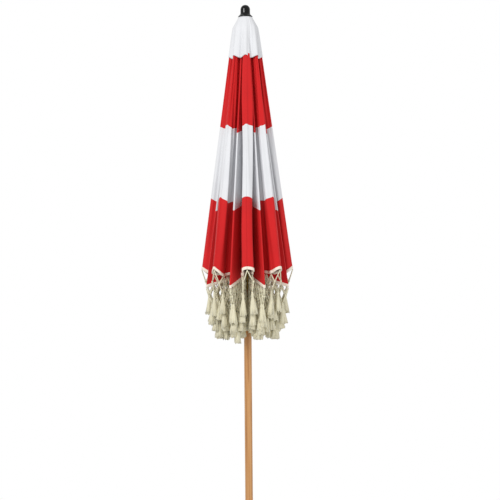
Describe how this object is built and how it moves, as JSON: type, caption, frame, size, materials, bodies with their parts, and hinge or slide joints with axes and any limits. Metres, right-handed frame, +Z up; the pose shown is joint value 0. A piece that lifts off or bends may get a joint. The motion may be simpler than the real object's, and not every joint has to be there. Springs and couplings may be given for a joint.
{
  "type": "beach umbrella",
  "caption": "Fringed beach umbrella on a wooden pole, shown shut; the runner slides up to open the ribs and banded canopy.",
  "frame": {"origin": "middle of the pole's flat lower end", "axes": "+Z up along the pole, +X along the first rib"},
  "size_m": [0.373, 0.373, 2.35],
  "materials": {
    "pole_wood": "clear varnish",
    "brass": "turned, lacquered",
    "white_plastic": "moulded",
    "steel": "zinc plated",
    "white_cloth": "woven",
    "black_plastic": "moulded, gloss",
    "striped_cloth": "woven cotton canvas, red and white bands",
    "cotton_cord": "knotted natural cotton cord"
  },
  "bodies": {
    "pole": {"lower_pole": "pole_wood", "upper_pole": "pole_wood", "pole_ferrule": "brass", "ferrule_screw": "brass", "crown_hub": "white_plastic", "crown_pin_ring": "steel", "crown_stud": "steel", "crown_patch": "white_cloth", "finial": "black_plastic"},
    "runner": {"runner": "white_plastic", "runner_pin_ring": "steel"},
    "runner_catch": {"runner_catch": "steel"},
    "rib_1": {"rib_1": "steel", "rib_tip_1": "white_plastic", "fringe_1": "cotton_cord"},
    "stretcher_1": {"stretcher_1": "steel"},
    "panel_1a": {"canopy_panel_1a": "striped_cloth"},
    "panel_1b": {"canopy_panel_1b": "striped_cloth"},
    "rib_2": {"rib_2": "steel", "rib_tip_2": "white_plastic", "fringe_2": "cotton_cord"},
    "stretcher_2": {"stretcher_2": "steel"},
    "panel_2a": {"canopy_panel_2a": "striped_cloth"},
    "panel_2b": {"canopy_panel_2b": "striped_cloth"},
    "rib_3": {"rib_3": "steel", "rib_tip_3": "white_plastic", "fringe_3": "cotton_cord"},
    "stretcher_3": {"stretcher_3": "steel"},
    "panel_3a": {"canopy_panel_3a": "striped_cloth"},
    "panel_3b": {"canopy_panel_3b": "striped_cloth"},
    "rib_4": {"rib_4": "steel", "rib_tip_4": "white_plastic", "fringe_4": "cotton_cord"},
    "stretcher_4": {"stretcher_4": "steel"},
    "panel_4a": {"canopy_panel_4a": "striped_cloth"},
    "panel_4b": {"canopy_panel_4b": "striped_cloth"},
    "rib_5": {"rib_5": "steel", "rib_tip_5": "white_plastic", "fringe_5": "cotton_cord"},
    "stretcher_5": {"stretcher_5": "steel"},
    "panel_5a": {"canopy_panel_5a": "striped_cloth"},
    "panel_5b": {"canopy_panel_5b": "striped_cloth"},
    "rib_6": {"rib_6": "steel", "rib_tip_6": "white_plastic", "fringe_6": "cotton_cord"},
    "stretcher_6": {"stretcher_6": "steel"},
    "panel_6a": {"canopy_panel_6a": "striped_cloth"},
    "panel_6b": {"canopy_panel_6b": "striped_cloth"},
    "rib_7": {"rib_7": "steel", "rib_tip_7": "white_plastic", "fringe_7": "cotton_cord"},
    "stretcher_7": {"stretcher_7": "steel"},
    "panel_7a": {"canopy_panel_7a": "striped_cloth"},
    "panel_7b": {"canopy_panel_7b": "striped_cloth"},
    "rib_8": {"rib_8": "steel", "rib_tip_8": "white_plastic", "fringe_8": "cotton_cord"},
    "stretcher_8": {"stretcher_8": "steel"},
    "panel_8a": {"canopy_panel_8a": "striped_cloth"},
    "panel_8b": {"canopy_panel_8b": "striped_cloth"}
  },
  "joints": [
    {"name": "runner_slide", "type": "slide", "parent": "pole", "child": "runner", "axis": [0, 0, 1], "range_m": [0, 0.59087], "deforming": ["canopy_panel_1a", "canopy_panel_1b", "canopy_panel_2a", "canopy_panel_2b", "canopy_panel_3a", "canopy_panel_3b", "canopy_panel_4a", "canopy_panel_4b", "canopy_panel_5a", "canopy_panel_5b", "canopy_panel_6a", "canopy_panel_6b", "canopy_panel_7a", "canopy_panel_7b", "canopy_panel_8a", "canopy_panel_8b", "fringe_1", "fringe_2", "fringe_3", "fringe_4", "fringe_5", "fringe_6", "fringe_7", "fringe_8"]},
    {"name": "catch_press", "type": "slide", "parent": "pole", "child": "runner_catch", "axis": [-1, 0, 0], "range_m": [0, 0.0055], "stiffness_N_per_m": 400},
    {"name": "rib_1_hinge", "type": "hinge", "parent": "pole", "child": "rib_1", "pos_m": [0.022, 0, 2.284], "axis": [0, -1, 0], "range_deg": [0, 62]},
    {"name": "stretcher_1_hinge", "type": "hinge", "parent": "runner", "child": "stretcher_1", "pos_m": [0.024, 0, 1.3448], "axis": [0, 1, 0], "range_deg": [0, 59.27]},
    {"name": "panel_1a_unfold", "type": "hinge", "parent": "rib_1", "child": "panel_1a", "pos_m": [-0.02085, 0.11007, 1.684], "axis": [0.1012, -0.1773, 0.9789], "range_deg": [0, 75.23]},
    {"name": "panel_1b_unfold", "type": "hinge", "parent": "rib_1", "child": "panel_1b", "pos_m": [-0.02085, -0.11007, 1.684], "axis": [-0.1012, -0.1773, -0.9789], "range_deg": [0, 75.23]},
    {"name": "rib_2_hinge", "type": "hinge", "parent": "pole", "child": "rib_2", "pos_m": [0.01556, 0.01556, 2.284], "axis": [0.7071, -0.7071, 0], "range_deg": [0, 62]},
    {"name": "stretcher_2_hinge", "type": "hinge", "parent": "runner", "child": "stretcher_2", "pos_m": [0.01697, 0.01697, 1.3448], "axis": [-0.7071, 0.7071, 0], "range_deg": [0, 59.27]},
    {"name": "panel_2a_unfold", "type": "hinge", "parent": "rib_2", "child": "panel_2a", "pos_m": [-0.09257, 0.06309, 1.684], "axis": [0.197, -0.0538, 0.9789], "range_deg": [0, 75.23]},
    {"name": "panel_2b_unfold", "type": "hinge", "parent": "rib_2", "child": "panel_2b", "pos_m": [0.06309, -0.09257, 1.684], "axis": [0.0538, -0.197, -0.9789], "range_deg": [0, 75.23]},
    {"name": "rib_3_hinge", "type": "hinge", "parent": "pole", "child": "rib_3", "pos_m": [0, 0.022, 2.284], "axis": [1, 0, 0], "range_deg": [0, 62]},
    {"name": "stretcher_3_hinge", "type": "hinge", "parent": "runner", "child": "stretcher_3", "pos_m": [0, 0.024, 1.3448], "axis": [-1, 0, 0], "range_deg": [0, 59.27]},
    {"name": "panel_3a_unfold", "type": "hinge", "parent": "rib_3", "child": "panel_3a", "pos_m": [-0.11007, -0.02085, 1.684], "axis": [0.1773, 0.1012, 0.9789], "range_deg": [0, 75.23]},
    {"name": "panel_3b_unfold", "type": "hinge", "parent": "rib_3", "child": "panel_3b", "pos_m": [0.11007, -0.02085, 1.684], "axis": [0.1773, -0.1012, -0.9789], "range_deg": [0, 75.23]},
    {"name": "rib_4_hinge", "type": "hinge", "parent": "pole", "child": "rib_4", "pos_m": [-0.01556, 0.01556, 2.284], "axis": [0.7071, 0.7071, 0], "range_deg": [0, 62]},
    {"name": "stretcher_4_hinge", "type": "hinge", "parent": "runner", "child": "stretcher_4", "pos_m": [-0.01697, 0.01697, 1.3448], "axis": [-0.7071, -0.7071, 0], "range_deg": [0, 59.27]},
    {"name": "panel_4a_unfold", "type": "hinge", "parent": "rib_4", "child": "panel_4a", "pos_m": [-0.06309, -0.09257, 1.684], "axis": [0.0538, 0.197, 0.9789], "range_deg": [0, 75.23]},
    {"name": "panel_4b_unfold", "type": "hinge", "parent": "rib_4", "child": "panel_4b", "pos_m": [0.09257, 0.06309, 1.684], "axis": [0.197, 0.0538, -0.9789], "range_deg": [0, 75.23]},
    {"name": "rib_5_hinge", "type": "hinge", "parent": "pole", "child": "rib_5", "pos_m": [-0.022, 0, 2.284], "axis": [0, 1, 0], "range_deg": [0, 62]},
    {"name": "stretcher_5_hinge", "type": "hinge", "parent": "runner", "child": "stretcher_5", "pos_m": [-0.024, 0, 1.3448], "axis": [0, -1, 0], "range_deg": [0, 59.27]},
    {"name": "panel_5a_unfold", "type": "hinge", "parent": "rib_5", "child": "panel_5a", "pos_m": [0.02085, -0.11007, 1.684], "axis": [-0.1012, 0.1773, 0.9789], "range_deg": [0, 75.23]},
    {"name": "panel_5b_unfold", "type": "hinge", "parent": "rib_5", "child": "panel_5b", "pos_m": [0.02085, 0.11007, 1.684], "axis": [0.1012, 0.1773, -0.9789], "range_deg": [0, 75.23]},
    {"name": "rib_6_hinge", "type": "hinge", "parent": "pole", "child": "rib_6", "pos_m": [-0.01556, -0.01556, 2.284], "axis": [-0.7071, 0.7071, 0], "range_deg": [0, 62]},
    {"name": "stretcher_6_hinge", "type": "hinge", "parent": "runner", "child": "stretcher_6", "pos_m": [-0.01697, -0.01697, 1.3448], "axis": [0.7071, -0.7071, 0], "range_deg": [0, 59.27]},
    {"name": "panel_6a_unfold", "type": "hinge", "parent": "rib_6", "child": "panel_6a", "pos_m": [0.09257, -0.06309, 1.684], "axis": [-0.197, 0.0538, 0.9789], "range_deg": [0, 75.23]},
    {"name": "panel_6b_unfold", "type": "hinge", "parent": "rib_6", "child": "panel_6b", "pos_m": [-0.06309, 0.09257, 1.684], "axis": [-0.0538, 0.197, -0.9789], "range_deg": [0, 75.23]},
    {"name": "rib_7_hinge", "type": "hinge", "parent": "pole", "child": "rib_7", "pos_m": [0, -0.022, 2.284], "axis": [-1, 0, 0], "range_deg": [0, 62]},
    {"name": "stretcher_7_hinge", "type": "hinge", "parent": "runner", "child": "stretcher_7", "pos_m": [0, -0.024, 1.3448], "axis": [1, 0, 0], "range_deg": [0, 59.27]},
    {"name": "panel_7a_unfold", "type": "hinge", "parent": "rib_7", "child": "panel_7a", "pos_m": [0.11007, 0.02085, 1.684], "axis": [-0.1773, -0.1012, 0.9789], "range_deg": [0, 75.23]},
    {"name": "panel_7b_unfold", "type": "hinge", "parent": "rib_7", "child": "panel_7b", "pos_m": [-0.11007, 0.02085, 1.684], "axis": [-0.1773, 0.1012, -0.9789], "range_deg": [0, 75.23]},
    {"name": "rib_8_hinge", "type": "hinge", "parent": "pole", "child": "rib_8", "pos_m": [0.01556, -0.01556, 2.284], "axis": [-0.7071, -0.7071, 0], "range_deg": [0, 62]},
    {"name": "stretcher_8_hinge", "type": "hinge", "parent": "runner", "child": "stretcher_8", "pos_m": [0.01697, -0.01697, 1.3448], "axis": [0.7071, 0.7071, 0], "range_deg": [0, 59.27]},
    {"name": "panel_8a_unfold", "type": "hinge", "parent": "rib_8", "child": "panel_8a", "pos_m": [0.06309, 0.09257, 1.684], "axis": [-0.0538, -0.197, 0.9789], "range_deg": [0, 75.23]},
    {"name": "panel_8b_unfold", "type": "hinge", "parent": "rib_8", "child": "panel_8b", "pos_m": [-0.09257, -0.06309, 1.684], "axis": [-0.197, -0.0538, -0.9789], "range_deg": [0, 75.23]}
  ],
  "couplings": [
    {"joint": "rib_1_hinge", "follows": "runner_slide", "rad_per_m": 1.8314},
    {"joint": "stretcher_1_hinge", "follows": "runner_slide", "rad_per_m": 1.7508},
    {"joint": "panel_1a_unfold", "follows": "runner_slide", "rad_per_m": 2.2222},
    {"joint": "panel_1b_unfold", "follows": "runner_slide", "rad_per_m": 2.2222},
    {"joint": "rib_2_hinge", "follows": "runner_slide", "rad_per_m": 1.8314},
    {"joint": "stretcher_2_hinge", "follows": "runner_slide", "rad_per_m": 1.7508},
    {"joint": "panel_2a_unfold", "follows": "runner_slide", "rad_per_m": 2.2222},
    {"joint": "panel_2b_unfold", "follows": "runner_slide", "rad_per_m": 2.2222},
    {"joint": "rib_3_hinge", "follows": "runner_slide", "rad_per_m": 1.8314},
    {"joint": "stretcher_3_hinge", "follows": "runner_slide", "rad_per_m": 1.7508},
    {"joint": "panel_3a_unfold", "follows": "runner_slide", "rad_per_m": 2.2222},
    {"joint": "panel_3b_unfold", "follows": "runner_slide", "rad_per_m": 2.2222},
    {"joint": "rib_4_hinge", "follows": "runner_slide", "rad_per_m": 1.8314},
    {"joint": "stretcher_4_hinge", "follows": "runner_slide", "rad_per_m": 1.7508},
    {"joint": "panel_4a_unfold", "follows": "runner_slide", "rad_per_m": 2.2222},
    {"joint": "panel_4b_unfold", "follows": "runner_slide", "rad_per_m": 2.2222},
    {"joint": "rib_5_hinge", "follows": "runner_slide", "rad_per_m": 1.8314},
    {"joint": "stretcher_5_hinge", "follows": "runner_slide", "rad_per_m": 1.7508},
    {"joint": "panel_5a_unfold", "follows": "runner_slide", "rad_per_m": 2.2222},
    {"joint": "panel_5b_unfold", "follows": "runner_slide", "rad_per_m": 2.2222},
    {"joint": "rib_6_hinge", "follows": "runner_slide", "rad_per_m": 1.8314},
    {"joint": "stretcher_6_hinge", "follows": "runner_slide", "rad_per_m": 1.7508},
    {"joint": "panel_6a_unfold", "follows": "runner_slide", "rad_per_m": 2.2222},
    {"joint": "panel_6b_unfold", "follows": "runner_slide", "rad_per_m": 2.2222},
    {"joint": "rib_7_hinge", "follows": "runner_slide", "rad_per_m": 1.8314},
    {"joint": "stretcher_7_hinge", "follows": "runner_slide", "rad_per_m": 1.7508},
    {"joint": "panel_7a_unfold", "follows": "runner_slide", "rad_per_m": 2.2222},
    {"joint": "panel_7b_unfold", "follows": "runner_slide", "rad_per_m": 2.2222},
    {"joint": "rib_8_hinge", "follows": "runner_slide", "rad_per_m": 1.8314},
    {"joint": "stretcher_8_hinge", "follows": "runner_slide", "rad_per_m": 1.7508},
    {"joint": "panel_8a_unfold", "follows": "runner_slide", "rad_per_m": 2.2222},
    {"joint": "panel_8b_unfold", "follows": "runner_slide", "rad_per_m": 2.2222}
  ]
}
